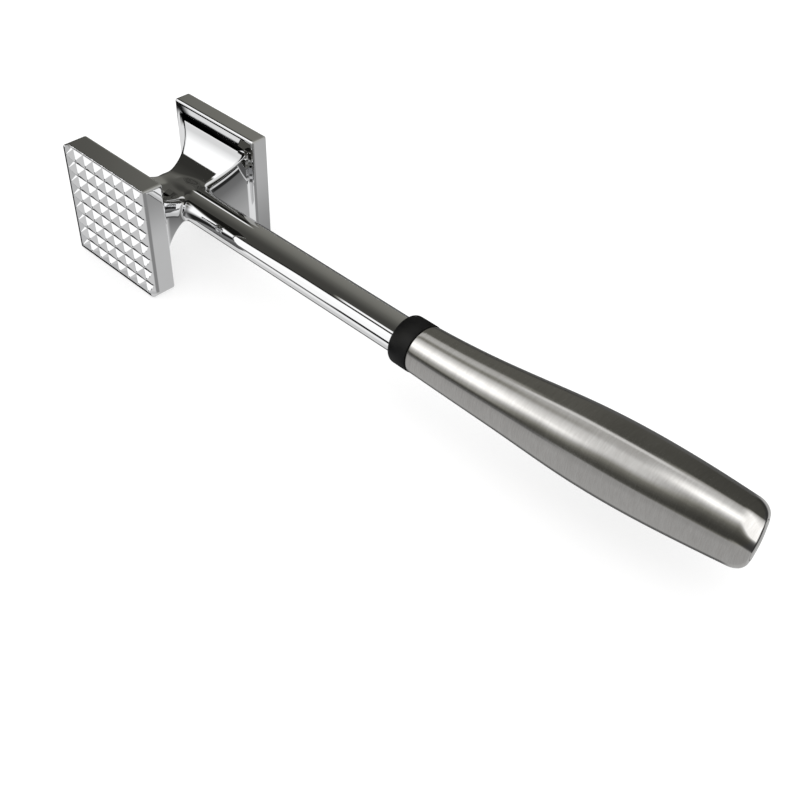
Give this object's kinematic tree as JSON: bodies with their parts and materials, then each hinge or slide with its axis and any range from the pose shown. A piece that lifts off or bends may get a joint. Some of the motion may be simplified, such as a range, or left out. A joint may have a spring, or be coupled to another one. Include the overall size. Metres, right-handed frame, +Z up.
{
  "type": "meat mallet",
  "caption": "Hand mallet for tenderising meat: waisted metal head with a toothed and a smooth striking face, round shank, plastic collar and hollow brushed steel grip.",
  "frame": {"origin": "centre of the smooth striking face", "axes": "+X runs along the grip away from the head, +Y is the outward normal of the smooth striking face (the toothed face looks along -Y), +Z is up"},
  "size_m": [0.2682, 0.0566, 0.0438],
  "materials": {
    "chrome_casting": "mirror chrome plate on a zinc die casting",
    "brushed_steel": "fine brushing around the grip",
    "black_plastic": "satin black moulded plastic",
    "grey_plastic": "plain moulded plastic, hidden inside the grip"
  },
  "bodies": {
    "root": {"head_casting": "chrome_casting", "collar_ring": "black_plastic", "handle_shell": "brushed_steel", "butt_cap": "brushed_steel", "tang_sleeve": "grey_plastic"}
  },
  "joints": []
}
